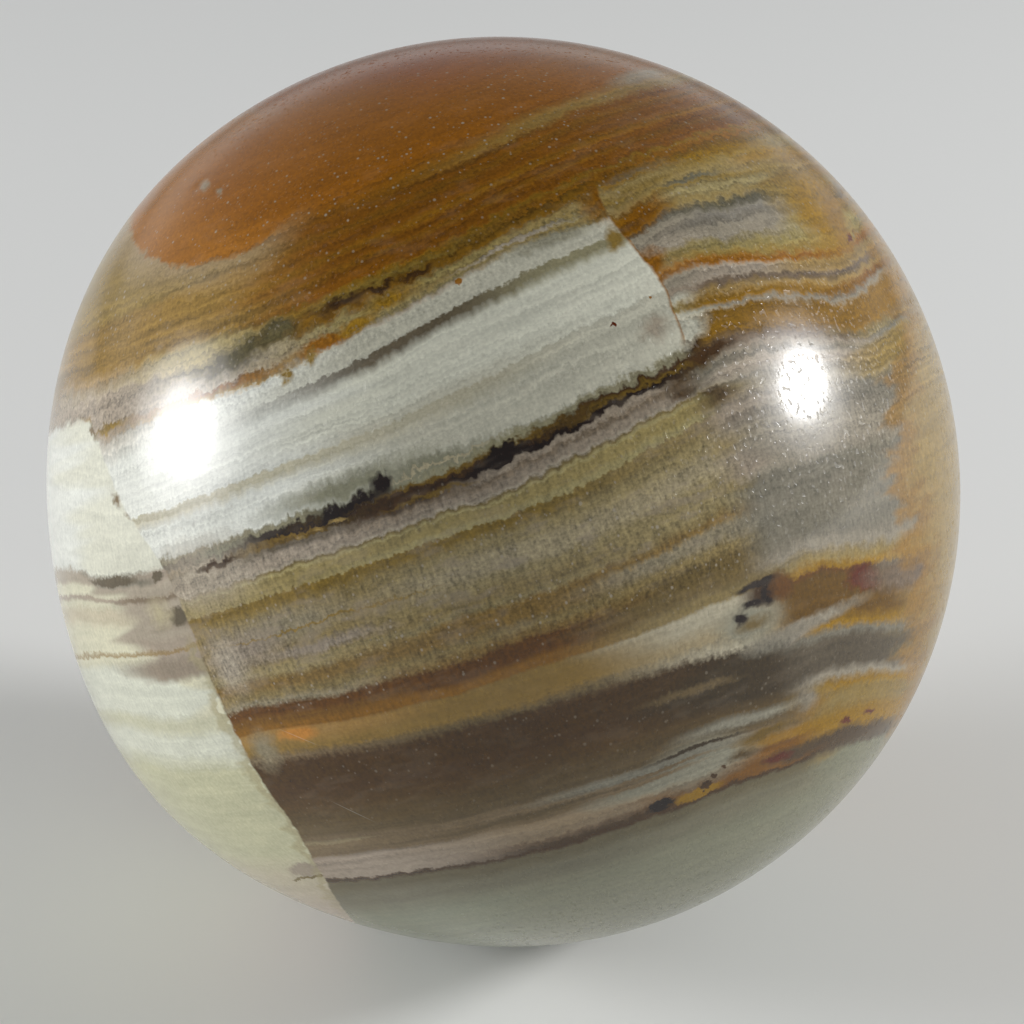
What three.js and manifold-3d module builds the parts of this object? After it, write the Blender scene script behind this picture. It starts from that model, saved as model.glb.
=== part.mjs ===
// A polished ball of banded onyx, about 52 mm across: one solid piece of stone.
// Millimetres, +Z up. The ball stands on a small flat ground under it, and the
// origin is in the plane of that flat, below the middle of the ball.

import * as THREE from 'three';
import { mergeVertices } from 'three/addons/utils/BufferGeometryUtils.js';
import Module from 'manifold-3d';

const wasm = await Module();
wasm.setup();

// Driving dimensions
const ballRadius = 26; // the mean radius of the ground and polished ball
const footRadius = 4.2; // the flat under it, just wide enough to stand on
const facetsPerEdge = 16; // facets along each edge of the starting icosahedron

// The ball was ground by hand and is up to one per cent out of round. Each spot
// is a direction from its middle, the height in mm by which the surface stands
// proud there (or lies low, where it is negative) and the spot's spread in degrees.
const unevenSpots = [
  { toward: [-0.73, -0.3, -0.61], rise: 0.37, spread: 20 },
  { toward: [-0.81, 0.26, 0.53], rise: 0.31, spread: 20 },
  { toward: [0.87, -0.22, -0.45], rise: 0.13, spread: 30 },
  { toward: [-0.99, -0.06, -0.13], rise: -0.26, spread: 18 },
  { toward: [0.09, 0.43, 0.9], rise: -0.18, spread: 30 },
  { toward: [-0.17, -0.43, -0.89], rise: -0.23, spread: 20 },
];

// The radius of the stone in one direction, given as a unit vector.
function radiusToward(direction) {
  let radius = ballRadius;
  for (const { toward, rise, spread } of unevenSpots) {
    const spot = new THREE.Vector3(...toward).normalize();
    const away = direction.angleTo(spot) / THREE.MathUtils.degToRad(spread);
    radius += rise * Math.exp(-away * away);
  }
  return radius;
}

// Keeps only the positions and merges the vertices that neighbours share.
function shared(geometry) {
  geometry.deleteAttribute('normal');
  geometry.deleteAttribute('uv');
  return mergeVertices(geometry);
}

function solidOf(geometry) {
  const vertProperties = new Float32Array(geometry.attributes.position.array);
  const triVerts = new Uint32Array(geometry.index.array);
  return new wasm.Manifold(new wasm.Mesh({ numProp: 3, vertProperties, triVerts }));
}

function geometryOf(solid) {
  const mesh = solid.getMesh();
  const geometry = new THREE.BufferGeometry();
  geometry.setAttribute('position', new THREE.BufferAttribute(mesh.vertProperties, 3));
  geometry.setIndex(new THREE.BufferAttribute(mesh.triVerts, 1));
  geometry.computeVertexNormals();
  return geometry;
}

// The whole ball, a little out of round, around its own middle.
function groundBall() {
  const geometry = shared(new THREE.IcosahedronGeometry(1, facetsPerEdge - 1));
  const position = geometry.attributes.position;
  const point = new THREE.Vector3();
  for (let i = 0; i < position.count; i++) {
    point.fromBufferAttribute(position, i).normalize();
    point.multiplyScalar(radiusToward(point));
    position.setXYZ(i, point.x, point.y, point.z);
  }
  return solidOf(geometry);
}

// The stone below the flat, as a block that is wider than the ball.
function belowFoot(footHeight) {
  const side = 3 * ballRadius;
  const block = new THREE.BoxGeometry(side, side, side);
  block.translate(0, 0, footHeight - side / 2);
  return solidOf(shared(block));
}

// The ball with its flat, moved so that the flat lies at height zero and the
// ball's own box is centred on the origin.
function onyxSphereGeometry() {
  const footHeight = -Math.sqrt(ballRadius ** 2 - footRadius ** 2);
  const geometry = geometryOf(groundBall().subtract(belowFoot(footHeight)));
  geometry.computeBoundingBox();
  const { min, max } = geometry.boundingBox;
  geometry.translate(-(min.x + max.x) / 2, -(min.y + max.y) / 2, -min.z);
  return geometry;
}

const polishedOnyx = new THREE.MeshStandardMaterial({
  color: 0x8f8468,
  roughness: 0.2,
  metalness: 0,
});

const onyxSphere = new THREE.Mesh(onyxSphereGeometry(), polishedOnyx);
onyxSphere.name = 'onyx_sphere';

const part = new THREE.Group();
part.add(onyxSphere);

export default part;
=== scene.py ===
import math
import random
from collections import namedtuple

import bmesh
import bpy
import numpy as np
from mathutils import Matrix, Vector


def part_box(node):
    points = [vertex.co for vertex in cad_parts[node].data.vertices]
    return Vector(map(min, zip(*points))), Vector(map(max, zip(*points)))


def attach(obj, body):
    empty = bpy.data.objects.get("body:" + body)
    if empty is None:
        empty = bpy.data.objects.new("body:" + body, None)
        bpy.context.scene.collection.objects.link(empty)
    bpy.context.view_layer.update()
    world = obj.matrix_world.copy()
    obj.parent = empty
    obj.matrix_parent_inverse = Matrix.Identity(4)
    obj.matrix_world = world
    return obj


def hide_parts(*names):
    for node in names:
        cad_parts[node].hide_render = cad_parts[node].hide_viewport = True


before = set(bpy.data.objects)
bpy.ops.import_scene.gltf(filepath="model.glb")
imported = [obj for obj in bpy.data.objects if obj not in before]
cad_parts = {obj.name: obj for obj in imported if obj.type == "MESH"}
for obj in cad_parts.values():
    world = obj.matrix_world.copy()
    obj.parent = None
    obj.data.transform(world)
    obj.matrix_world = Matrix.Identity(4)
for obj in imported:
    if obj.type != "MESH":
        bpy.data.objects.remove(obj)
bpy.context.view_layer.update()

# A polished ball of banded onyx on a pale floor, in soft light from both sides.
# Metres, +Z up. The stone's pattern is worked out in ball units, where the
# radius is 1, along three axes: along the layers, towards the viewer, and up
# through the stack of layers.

NODE = "onyx_sphere"

# The ball
BALL_RADIUS = 0.026
FOOT_RADIUS = 0.0042
FACETS_PER_EDGE = 98

# Where the ball stands proud or lies low: direction, rise in metres, spread in degrees
UNEVEN_SPOTS = [
    ((-0.73, -0.30, -0.61), 0.37e-3, 20),
    ((-0.81, 0.26, 0.53), 0.31e-3, 20),
    ((0.87, -0.22, -0.45), 0.13e-3, 30),
    ((-0.99, -0.06, -0.13), -0.26e-3, 18),
    ((0.09, 0.43, 0.90), -0.18e-3, 30),
    ((-0.17, -0.43, -0.89), -0.23e-3, 20),
]

# Small chips that were left in the near half: place along the layers and up the ball,
# depth in metres, and spread in degrees
CHIPS = [
    (-0.374, 0.823, 0.05e-3, 0.9),
    (-0.338, 0.796, 0.04e-3, 0.7),
    (-0.406, 0.107, 0.07e-3, 0.8),
    (-0.374, 0.11, 0.06e-3, 0.7),
    (0.309, 0.195, 0.04e-3, 0.9),
    (-0.21, 0.172, 0.04e-3, 0.8),
    (0.352, -0.336, 0.05e-3, 0.8),
    (0.545, -0.255, 0.04e-3, 0.7),
]
# More of them all round, with their greatest depth and spread
SMALL_CHIPS = 60
SMALL_CHIP_DEPTH = 0.03e-3
SMALL_CHIP_SPREAD = 0.7

# The photograph's view of the ball
CAMERA_RISE = math.radians(25.8)
CAMERA_DISTANCE = 6.504 * BALL_RADIUS
PHOTO_WIDTH_PX = 1024
FOCAL_PX = 2942
BALL_MIDDLE_PX = (502, 492)
SENSOR_WIDTH_MM = 36

# The axes of the pattern: up through the layers, and along them to the right
LAYER_UP = Vector((-0.331, 0.361, 0.872)).normalized()
LAYER_ALONG = Vector((0.944, 0.143, 0.299))
LAYER_ALONG = (LAYER_ALONG - LAYER_ALONG.project(LAYER_UP)).normalized()
LAYER_OUT = LAYER_ALONG.cross(LAYER_UP)

# The stone's own colours
PALETTE = {
    "fog": (129, 128, 105), "fog light": (135, 138, 115), "sage": (116, 111, 89),
    "slate": (101, 92, 66), "plum": (67, 43, 12), "plum brown": (70, 50, 23), "clay": (120, 101, 72),
    "clay rose": (107, 86, 62), "clay pale": (134, 119, 88), "shell": (162, 147, 130),
    "shell dim": (144, 125, 98), "chalk": (142, 138, 119), "mud pale": (97, 80, 50),
    "mud": (90, 71, 38), "mud dark": (82, 58, 22), "dusk": (74, 49, 15), "dusk deep": (72, 47, 7),
    "dusk grey": (60, 47, 26), "tan": (139, 111, 53), "peach": (155, 120, 62),
    "peach bright": (190, 128, 50), "butter": (161, 145, 112), "butter pale": (175, 166, 142),
    "caramel": (132, 90, 19), "umber": (96, 58, 4), "umber pale": (113, 77, 19),
    "olive": (134, 116, 72), "olive dim": (110, 92, 53), "taupe": (134, 116, 73),
    "taupe deep": (127, 101, 51), "taupe pale": (143, 128, 88), "taupe light": (155, 142, 111),
    "taupe grey": (138, 127, 101), "comb dark": (121, 98, 37), "bone": (156, 144, 99),
    "bone pale": (175, 164, 134), "cream": (149, 133, 84), "arch brown": (118, 102, 62),
    "lilac": (144, 131, 114), "lilac pale": (163, 152, 134), "lilac dark": (123, 108, 89),
    "soot": (26, 12, 6), "soot brown": (62, 40, 14), "gold brown": (106, 82, 25),
    "gold": (146, 122, 70), "haze": (138, 132, 105), "white": (210, 209, 192),
    "milk": (215, 216, 207), "ivory": (191, 188, 170), "frost": (179, 173, 150),
    "moss": (96, 86, 68), "moss pale": (142, 136, 106), "rust": (139, 90, 17),
    "amber": (147, 111, 28), "wheat": (152, 137, 93), "straw": (146, 126, 78),
    "grime": (114, 81, 17), "ember": (123, 76, 7), "honey": (128, 85, 13),
    "honey pale": (143, 113, 54), "cap": (142, 86, 2), "cap light": (154, 98, 21),
    "cap dark": (137, 73, 2), "ochre": (120, 77, 5), "ochre light": (135, 98, 17),
    "ochre pale": (138, 114, 57), "mustard": (145, 108, 5), "fawn": (146, 120, 71),
    # Among these, the pale peach is painted light: the glow of light through the stone's translucent right
    # edge
    "pale peach glow": (142, 120, 69), "maroon": (92, 36, 12), "violet": (78, 60, 38),
    "mauve": (114, 97, 79), "pewter": (119, 113, 98), "pewter dark": (86, 76, 60),
    "pearl": (142, 133, 116), "rose white": (159, 146, 129), "pearl light": (144, 137, 124),
    "tan pale": (140, 125, 87), "chalk dim": (137, 132, 115), "lens gold": (98, 68, 2),
    # Painted shade is among these colours: the grey-green that darkens the white just above the dark seam
    "halo": (134, 132, 110), "sand": (140, 123, 81), "lens green": (104, 98, 78),
    "pale green": (190, 188, 156), "green shade": (194, 192, 166), "green white": (208, 209, 192),
    "pale cream": (191, 181, 156), "cream white": (205, 201, 175), "skin": (185, 170, 151),
    "vein": (159, 148, 112), "rust dim": (137, 112, 54), "rind tan": (139, 101, 32),
    "lens grey": (123, 117, 106), "cap rim": (155, 134, 100), "honey light": (132, 90, 15),
    "honey dark": (125, 92, 21), "moss dark": (81, 73, 44), "grime pale": (130, 106, 59),
    "grime light": (123, 100, 40), "straw pale": (155, 139, 87),
}

# For each block the stations, which are places along the layers, the number of the one that
# gives each marker bed its height, and the heights of the beds at the stations
MAIN_STATIONS = (-0.6, -0.4, -0.2, 0.0, 0.2, 0.4)
MAIN_MIDDLE = 3
MAIN_BEDS = {
    "plum thread": (-0.6, -0.622, -0.643, -0.655, -0.658, -0.672),
    "top of dusk": (-0.3, -0.335, -0.355, -0.365, -0.37, -0.405),
    "top of tan": (-0.245, -0.268, -0.28, -0.285, -0.287, -0.288),
    "comb": (0.008, 0.009, 0.009, 0.01, 0.021, 0.055),
    "dark seam": (0.113, 0.115, 0.116, 0.12, 0.145, 0.162),
    "moss streak": (0.335, 0.35, 0.367, 0.395, 0.42, 0.435),
    "top of white": (0.4, 0.4, 0.416, 0.44, 0.475, 0.475),
    "dark clusters": (0.47, 0.476, 0.485, 0.5, 0.525, 0.55),
    "cap edge": (0.665, 0.665, 0.672, 0.68, 0.7, 0.72),
}
RIGHT_STATIONS = (0.4, 0.5, 0.6, 0.7, 0.8, 0.9)
RIGHT_MIDDLE = 1
RIGHT_BEDS = {
    "lower edge": (-0.69, -0.705, -0.74, -0.78, -0.83, -0.88),
    "second lens": (-0.505, -0.515, -0.55, -0.6, -0.64, -0.68),
    "first lens": (-0.3, -0.3, -0.327, -0.355, -0.385, -0.42),
    "olive thread": (-0.085, -0.087, -0.098, -0.11, -0.125, -0.12),
    "violet band": (0.163, 0.175, 0.16, 0.123, 0.09, 0.1),
    "white thread": (0.255, 0.245, 0.232, 0.2, 0.17, 0.195),
    "rust line": (0.33, 0.335, 0.315, 0.285, 0.262, 0.28),
    "grey lens": (0.42, 0.445, 0.435, 0.42, 0.4, 0.4),
    "upper seam": (0.545, 0.547, 0.54, 0.534, 0.52, 0.5),
}
LEFT_STATIONS = (-0.9, -0.8, -0.7, -0.6)
LEFT_MIDDLE = 2
LEFT_BEDS = {
    "green shade": (-0.15, -0.185, -0.2, -0.208),
    "orange thread": (-0.02, -0.038, -0.047, -0.047),
    "brown thread": (0.1, 0.075, 0.052, 0.05),
    "dark patches": (0.16, 0.125, 0.112, 0.11),
    "top of white": (0.56, 0.478, 0.415, 0.4),
}

# One layer of the stack: where its top lies, how softly it ends there, and its colour in
# the middle of its block and, where they differ, towards the block's left and right
Layer = namedtuple("Layer", "top soft colour left right", defaults=(None, None))


def rows_of(kind, rows):
    return [kind(*row) for row in rows]


MAIN_LAYERS = rows_of(Layer, [
    (-0.82, 0.06, "fog", "fog light"),
    (-0.74, 0.05, "fog", "fog light"),
    (-0.69, 0.04, "sage"),
    (-0.664, 0.006, "slate"),
    (-0.655, 0.004, "plum"),
    (-0.645, 0.006, "plum brown", "shell", "ochre"),
    (-0.634, 0.012, "clay rose", "shell", "ochre"),
    (-0.595, 0.008, "shell dim", "shell", "ochre"),
    (-0.586, 0.006, "clay", None, "ochre light"),
    (-0.572, 0.008, "mud pale", "clay", "ochre light"),
    (-0.548, 0.01, "clay"),
    (-0.525, 0.03, "mud pale"),
    (-0.49, 0.03, "mud"),
    (-0.455, 0.03, "mud dark", None, "dusk grey"),
    (-0.425, 0.03, "dusk", None, "dusk grey"),
    (-0.385, 0.02, "dusk deep", None, "dusk grey"),
    (-0.368, 0.012, "dusk", None, "dusk grey"),
    (-0.35, 0.03, "tan pale", "clay", "butter pale"),
    (-0.32, 0.025, "tan", None, "butter"),
    (-0.287, 0.005, "tan", "peach", "butter pale"),
    (-0.266, 0.014, "caramel", None, "olive"),
    (-0.25, 0.014, "umber", "umber pale", "olive dim"),
    (-0.226, 0.01, "umber", None, "olive dim"),
    (-0.21, 0.014, "taupe deep", "taupe grey", "olive dim"),
    (-0.19, 0.016, "taupe"),
    (-0.162, 0.014, "taupe deep", None, "taupe grey"),
    (-0.148, 0.01, "taupe deep", "taupe pale"),
    (-0.136, 0.01, "taupe pale", None, "taupe"),
    (-0.11, 0.016, "taupe", None, "taupe pale"),
    (-0.085, 0.02, "taupe pale", "taupe"),
    (-0.045, 0.02, "taupe light", "taupe"),
    (-0.015, 0.02, "taupe pale", "taupe"),
    (0.01, 0.003, "comb dark", None, "taupe"),
    (0.022, 0.008, "bone", "cream"),
    (0.044, 0.012, "cream"),
    (0.05, 0.006, "bone"),
    (0.056, 0.006, "arch brown"),
    (0.062, 0.004, "lilac pale"),
    (0.076, 0.008, "lilac", "rose white"),
    (0.088, 0.006, "lilac dark", "rose white"),
    (0.1, 0.005, "lilac", "pewter dark"),
    (0.112, 0.005, "soot", "gold brown"),
    (0.122, 0.006, "soot brown", "soot", "gold brown"),
    (0.132, 0.006, "gold brown", "soot", "soot brown"),
    (0.146, 0.008, "moss pale", "haze", "haze"),
    (0.17, 0.02, "ivory", "milk"),
    (0.235, 0.02, "ivory", "milk"),
    (0.262, 0.004, "frost", None, "ivory"),
    (0.28, 0.02, "ivory", "milk", "white"),
    (0.378, 0.034, "white", "milk"),
    (0.402, 0.003, "moss", "milk", "moss pale"),
    (0.438, 0.01, "ivory", "milk"),
    (0.446, 0.008, "lilac pale", "fawn", "wheat"),
    (0.455, 0.006, "wheat", "rust", "straw"),
    (0.467, 0.006, "straw", "lilac pale", "wheat"),
    (0.481, 0.006, "straw pale", "lilac pale", "straw"),
    (0.488, 0.006, "grime pale", "taupe light"),
    (0.509, 0.006, "grime", "moss dark"),
    (0.521, 0.008, "grime light", "wheat", "honey"),
    (0.53, 0.01, "honey dark", "straw"),
    (0.556, 0.014, "ember", "honey pale"),
    (0.566, 0.01, "honey", "honey pale"),
    (0.584, 0.014, "ember", "honey pale"),
    (0.596, 0.01, "honey light", "honey pale"),
    (0.625, 0.02, "ember", "honey pale"),
    (0.64, 0.014, "honey", "honey pale"),
    (0.66, 0.02, "ember", "ochre pale"),
    (0.69, 0.03, "honey", "ochre pale", "honey pale"),
    (0.85, 0.1, "cap", "ochre pale"),
    (1.0, 0.05, "cap dark"),
])
RIGHT_LAYERS = rows_of(Layer, [
    (-0.715, 0.014, "fog"),
    (-0.7, 0.01, "fog", "straw"),
    (-0.664, 0.014, "pewter dark", "violet", "sand"),
    (-0.6, 0.03, "mustard", None, "sand"),
    (-0.56, 0.02, "olive", "ochre light", "sand"),
    (-0.536, 0.012, "mustard", "ochre pale", "sand"),
    (-0.513, 0.01, "pearl", None, "sand"),
    (-0.44, 0.014, "pewter dark", None, "sand"),
    (-0.422, 0.01, "pewter"),
    (-0.398, 0.014, "mustard", "pearl light", "fawn"),
    (-0.352, 0.016, "lens gold", None, "fawn"),
    (-0.308, 0.008, "lens gold", None, "pewter"),
    (-0.3, 0.006, "umber", None, "pewter"),
    (-0.284, 0.012, "mustard", "amber", "fawn"),
    (-0.262, 0.02, "straw", "olive", "fawn"),
    (-0.235, 0.02, "pearl"),
    (-0.1, 0.014, "pewter"),
    (-0.086, 0.008, "pewter", "olive"),
    (-0.02, 0.02, "pearl", "lilac"),
    (0.005, 0.012, "pearl", "straw"),
    (0.075, 0.02, "pearl", "lilac", "pewter"),
    (0.11, 0.016, "pearl", "sand", "ochre pale"),
    (0.135, 0.012, "rose white", "pewter", "ochre pale"),
    (0.152, 0.01, "pearl", "pewter", "ochre pale"),
    (0.166, 0.008, "lilac", "mud", "pewter"),
    (0.186, 0.01, "mauve", "violet", "sand"),
    (0.24, 0.014, "ochre light"),
    (0.252, 0.006, "pearl", "ivory"),
    (0.27, 0.012, "ochre light", "straw", "ochre"),
    (0.286, 0.01, "fawn", "ivory"),
    (0.3, 0.006, "mauve", "lilac"),
    (0.328, 0.006, "rose white", "pearl", "fawn"),
    (0.344, 0.006, "rust"),
    (0.358, 0.008, "ochre pale", "fawn"),
    (0.376, 0.02, "straw pale", "straw"),
    (0.408, 0.016, "pearl", "lilac pale", "straw pale"),
    (0.432, 0.026, "lens grey", "pearl"),
    (0.449, 0.008, "lens green", "pewter"),
    (0.466, 0.006, "straw", "ochre light", "ochre pale"),
    (0.486, 0.008, "wheat", "ochre light", "ochre light"),
    (0.5, 0.008, "ochre pale", "sand", "straw"),
    (0.52, 0.012, "straw", "ochre pale", "ochre light"),
    (0.536, 0.01, "ochre pale", "straw", "mustard"),
    (0.56, 0.01, "mustard", "ochre light", "straw"),
    (0.62, 0.012, "ochre light"),
    (1.0, 0.05, "ochre"),
])
LEFT_LAYERS = rows_of(Layer, [
    (-0.64, 0.06, "skin"),
    (-0.545, 0.04, "pale cream"),
    (-0.29, 0.03, "pale green"),
    (-0.222, 0.014, "green white"),
    (-0.188, 0.012, "green shade"),
    (-0.105, 0.01, "green white", None, "cream white"),
    (-0.068, 0.01, "lilac", "green white"),
    (-0.046, 0.006, "rose white", "cream white"),
    (-0.04, 0.004, "fawn"),
    (-0.018, 0.01, "rose white", "cream white"),
    (0.014, 0.01, "lilac pale", "cream white", "lilac dark"),
    (0.045, 0.008, "lilac pale", "pale cream", "rose white"),
    (0.058, 0.005, "lilac pale", "cream white"),
    (0.07, 0.004, "lilac dark", "rose white"),
    (0.096, 0.006, "lilac pale", "cream white"),
    (0.122, 0.006, "pewter", "lilac pale", "rose white"),
    (0.42, 0.006, "white", "milk"),
    (0.432, 0.006, "fawn", "ivory"),
    (0.48, 0.02, "rose white", "ivory"),
    (0.53, 0.02, "straw", "ivory"),
    (0.7, 0.06, "honey pale", "rose white"),
    (1.0, 0.05, "fawn"),
])

# A block of the stone: its stations and which of them gives a marker bed its height, its
# beds and layers, where along them its left and right colours run into those of its middle,
# and by how much the ends of its layers are softened
Block = namedtuple("Block", "stations middle beds layers from_left to_right soften")

MAIN_BLOCK = Block(MAIN_STATIONS, MAIN_MIDDLE, MAIN_BEDS, MAIN_LAYERS, (-0.45, -0.15), (0.0, 0.28), 1.2)
RIGHT_BLOCK = Block(RIGHT_STATIONS, RIGHT_MIDDLE, RIGHT_BEDS, RIGHT_LAYERS, (0.44, 0.54), (0.66, 0.80), 1.8)
LEFT_BLOCK = Block(LEFT_STATIONS, LEFT_MIDDLE, LEFT_BEDS, LEFT_LAYERS, (-0.86, -0.78), (-0.72, -0.66), 1.6)

# The main block has so many layers that it is coloured in four parts, which
# meet at these heights, each in the middle of an even layer
MAIN_CUTS = (-0.237, 0.320, 0.610)

# Marks over the layers of the near half: colour, middle along the layers and up the stack,
# reach from the middle in both, and how soft the edge is as a share of the reach
Mark = namedtuple("Mark", "colour along up long tall soft", defaults=(0.4,))

MAIN_MARKS = rows_of(Mark, [
    ("chalk", 0.19, -0.582, 0.1, 0.046, 0.9),
    ("chalk", 0.12, -0.596, 0.15, 0.016, 0.9),
    ("chalk dim", 0.08, -0.556, 0.19, 0.01, 0.9),
    ("chalk dim", 0.3, -0.52, 0.12, 0.012, 1),
    ("clay", 0.06, -0.58, 0.12, 0.005, 0.8),
    ("clay", 0.1, -0.568, 0.12, 0.004, 0.8),
    ("dusk grey", 0.19, -0.548, 0.1, 0.004, 0.8),
    ("soot", 0.087, -0.646, 0.028, 0.01),
    ("violet", 0.4, -0.634, 0.08, 0.017, 0.8),
    ("maroon", 0.345, -0.632, 0.03, 0.008, 0.9),
    ("mustard", 0.17, -0.648, 0.05, 0.009),
    ("plum", 0.188, -0.637, 0.014, 0.006),
    ("plum", 0.21, -0.625, 0.009, 0.005),
    ("plum", 0.234, -0.613, 0.008, 0.004),
    ("clay pale", -0.56, -0.562, 0.09, 0.005),
    ("mud pale", 0.22, -0.425, 0.09, 0.009, 0.8),
    ("peach bright", -0.53, -0.304, 0.036, 0.016, 0.8),
    ("dusk", -0.12, -0.374, 0.3, 0.022, 1.2),
    ("taupe grey", -0.48, -0.06, 0.12, 0.03, 1),
    ("lilac", -0.57, -0.09, 0.07, 0.035, 1.2),
    ("lilac", -0.42, -0.12, 0.12, 0.012, 1),
    ("rust dim", -0.4, -0.072, 0.2, 0.0028, 0.9),
    ("taupe light", 0.01, -0.069, 0.15, 0.018, 0.8),
    ("lilac pale", -0.6, 0.095, 0.085, 0.055, 1.5),
    ("soot", 0.031, 0.118, 0.046, 0.015),
    # Painted shade: the next two marks darken the white just above the dark seam with grey-green, where
    # shade falls
    ("halo", -0.27, 0.17, 0.14, 0.026, 1.2),
    ("halo", -0.11, 0.152, 0.1, 0.014, 1),
    ("soot", -0.316, 0.122, 0.022, 0.018, 0.6),
    ("soot", -0.27, 0.134, 0.08, 0.012, 0.9),
    ("gold", -0.31, 0.112, 0.014, 0.005, 0.9),
    ("gold", -0.385, 0.106, 0.01, 0.008, 0.8),
    ("gold", -0.348, 0.11, 0.007, 0.006, 0.8),
    ("gold brown", -0.4, 0.112, 0.06, 0.004, 0.9),
    ("soot brown", -0.17, 0.098, 0.11, 0.013, 0.8),
    ("soot brown", -0.56, 0.103, 0.042, 0.008, 0.8),
    ("chalk", -0.548, 0.13, 0.044, 0.01, 1),
    ("chalk", 0.25, 0.434, 0.08, 0.01, 1),
    ("lilac pale", 0.378, 0.205, 0.026, 0.02, 1.3),
    ("cream white", -0.8, 0.505, 0.036, 0.03, 1.2),
    ("soot brown", 0.398, 0.072, 0.024, 0.014, 1),
    ("lilac pale", -0.612, -0.118, 0.03, 0.056, 1.3),
    ("taupe grey", -0.606, -0.335, 0.022, 0.042, 1.3),
    ("gold brown", -0.13, 0.094, 0.08, 0.005, 0.9),
    ("violet", 0.4, 0.088, 0.045, 0.018, 1),
    ("bone pale", -0.09, 0.148, 0.105, 0.003, 0.8),
    ("rust dim", -0.315, 0.43, 0.012, 0.01, 0.9),
    ("rust", -0.22, 0.452, 0.06, 0.01, 0.8),
    ("amber", -0.075, 0.473, 0.05, 0.012, 0.9),
    ("amber", -0.155, 0.455, 0.035, 0.01, 0.9),
    ("soot brown", -0.09, 0.5, 0.03, 0.008, 0.7),
    ("soot brown", -0.015, 0.497, 0.035, 0.007, 0.7),
    ("soot brown", -0.18, 0.503, 0.06, 0.011, 0.9),
    ("grime", -0.25, 0.5, 0.05, 0.018, 0.9),
    ("moss dark", -0.3, 0.502, 0.04, 0.02, 0.8),
    ("moss dark", -0.41, 0.494, 0.08, 0.022, 0.8),
    ("lilac pale", 0.18, 0.46, 0.11, 0.005, 0.9),
    ("rust dim", 0.368, 0.395, 0.016, 0.022, 0.9),
    ("wheat", -0.5, 0.52, 0.12, 0.022, 0.8),
    ("shell dim", -0.88, 0.52, 0.1, 0.25, 0.9),
    ("rose white", -0.74, 0.478, 0.19, 0.055, 0.9),
    ("rust dim", -0.7, 0.452, 0.04, 0.006, 1),
    ("cap rim", -0.365, 0.806, 0.228, 0.168, 0.4),
    ("cap light", -0.34, 0.815, 0.212, 0.15, 0.07),
    ("cap", -0.15, 0.81, 0.25, 0.135, 0.5),
    ("shell dim", 0.56, 0.7, 0.065, 0.018, 1),
    ("shell dim", -0.366, 0.826, 0.01, 0.009, 1.2),
    ("shell dim", -0.338, 0.8, 0.007, 0.007, 1.2),
    ("shell dim", 0.535, 0.695, 0.012, 0.007, 1),
    ("soot", -0.207, 0.15, 0.019, 0.019, 0.7),
    ("maroon", 0.305, 0.242, 0.005, 0.005),
    ("rust", 0.39, 0.26, 0.004, 0.004),
    ("rust dim", -0.257, 0.44, 0.01, 0.01, 0.9),
    ("rust", 0.055, 0.44, 0.006, 0.006),
    ("ochre", 0.395, 0.47, 0.06, 0.04, 0.8),
])
RIGHT_MARKS = rows_of(Mark, [
    ("soot brown", 0.43, 0.19, 0.018, 0.011, 1.2),
    ("maroon", 0.622, -0.328, 0.036, 0.026, 0.6),
    ("mauve", 0.735, -0.334, 0.1, 0.028, 0.8),
    ("pearl", 0.43, -0.553, 0.026, 0.026, 0.9),
    ("maroon", 0.505, -0.64, 0.014, 0.007, 0.8),
    ("maroon", 0.56, -0.63, 0.012, 0.005, 0.8),
    ("violet", 0.5, -0.672, 0.13, 0.02, 0.9),
    ("ochre pale", 0.6, -0.575, 0.1, 0.022, 0.8),
    ("soot brown", 0.46, 0.169, 0.06, 0.012, 0.8),
    ("violet", 0.435, 0.084, 0.05, 0.018, 1),
    ("soot brown", 0.43, 0.095, 0.025, 0.01, 0.9),
    ("ivory", 0.44, 0.222, 0.04, 0.024, 0.8),
    ("rust", 0.413, 0.368, 0.03, 0.034, 0.8),
    ("ochre", 0.43, 0.468, 0.06, 0.024, 0.9),
    ("lens green", 0.56, 0.5, 0.06, 0.005, 0.9),
    ("lens green", 0.45, 0.548, 0.06, 0.006, 0.9),
    ("ochre pale", 0.78, 0.44, 0.07, 0.05, 0.9),
    ("mustard", 0.805, 0.415, 0.052, 0.08, 0.9),
    ("ochre light", 0.835, 0.39, 0.022, 0.06, 1),
    ("maroon", 0.85, 0.35, 0.008, 0.007, 0.9),
])
LEFT_MARKS = rows_of(Mark, [
    ("moss", -0.795, 0.109, 0.05, 0.01),
    ("moss", -0.695, 0.109, 0.012, 0.01),
    ("moss", -0.678, 0.024, 0.024, 0.02),
    ("lilac", -0.74, -0.075, 0.09, 0.015, 1.4),
    ("bone pale", -0.715, 0.036, 0.022, 0.026, 1.2),
    ("clay", -0.737, 0.405, 0.006, 0.02, 1.2),
    ("clay", -0.73, 0.268, 0.008, 0.014, 1.2),
    ("clay", -0.709, 0.235, 0.007, 0.009, 1.2),
    ("rose white", -0.634, -0.565, 0.036, 0.02),
    ("arch brown", -0.634, -0.588, 0.036, 0.004),
])

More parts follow.
